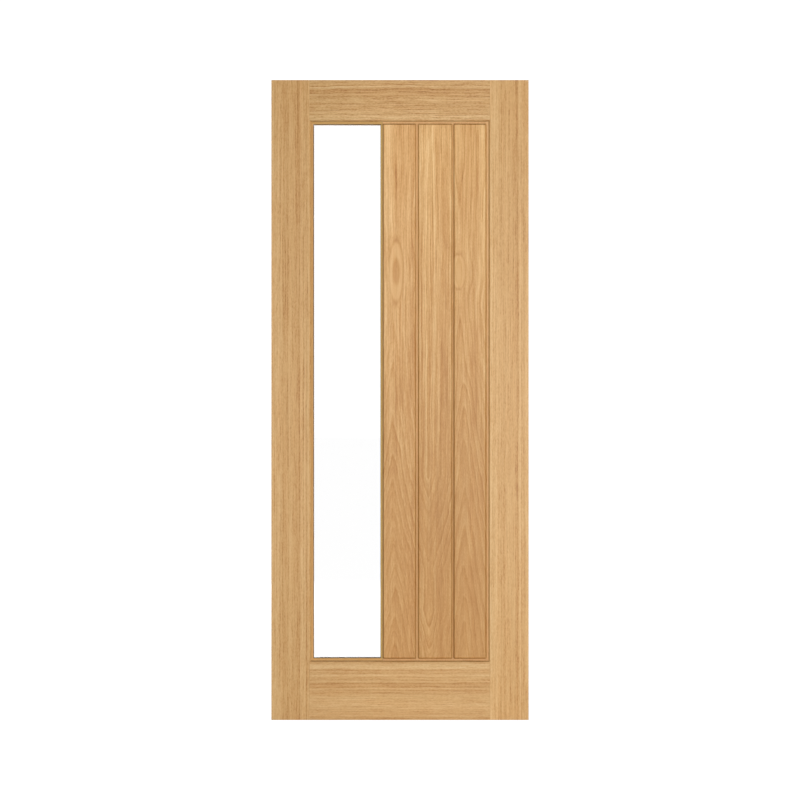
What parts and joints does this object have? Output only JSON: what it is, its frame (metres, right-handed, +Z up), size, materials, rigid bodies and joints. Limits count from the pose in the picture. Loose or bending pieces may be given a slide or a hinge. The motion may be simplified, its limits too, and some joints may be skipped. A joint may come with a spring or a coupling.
{
  "type": "glazed door leaf",
  "caption": "Tall oak door leaf with a narrow clear glass strip beside upright boards, framed by stiles and rails, to be hung on hinges along one edge.",
  "frame": {"origin": "foot of the hinge edge, at mid thickness, on the flat of that edge", "axes": "+X out of the hinge edge, +Z up the leaf, -Y out of the front face"},
  "size_m": [0.82, 0.04, 2.04],
  "materials": {
    "oak_frame": "clear satin lacquer on straight grained oak",
    "oak_lipping": "clear satin lacquer on straight grained oak",
    "oak_board": "clear satin lacquer on flat sawn oak",
    "oak_panel": "clear satin lacquer on oak",
    "oak_bead": "clear satin lacquer on straight grained oak",
    "clear_glass": "clear polished",
    "glazing_tape": "matt dark brown foam tape"
  },
  "bodies": {
    "root": {"lock_stile": "oak_frame", "hinge_stile": "oak_frame", "top_rail": "oak_frame", "bottom_rail": "oak_frame", "lock_edge_lipping": "oak_lipping", "hinge_edge_lipping": "oak_lipping", "panel_core": "oak_panel", "front_board_left": "oak_board", "front_board_middle": "oak_board", "front_board_right": "oak_board", "front_bead_left": "oak_bead", "front_tape_left": "glazing_tape", "front_bead_right": "oak_bead", "front_tape_right": "glazing_tape", "front_bead_top": "oak_bead", "front_tape_top": "glazing_tape", "front_bead_bottom": "oak_bead", "front_tape_bottom": "glazing_tape", "back_board_left": "oak_board", "back_board_middle": "oak_board", "back_board_right": "oak_board", "back_bead_left": "oak_bead", "back_tape_left": "glazing_tape", "back_bead_right": "oak_bead", "back_tape_right": "glazing_tape", "back_bead_top": "oak_bead", "back_tape_top": "glazing_tape", "back_bead_bottom": "oak_bead", "back_tape_bottom": "glazing_tape", "glass_pane": "clear_glass"}
  },
  "joints": []
}
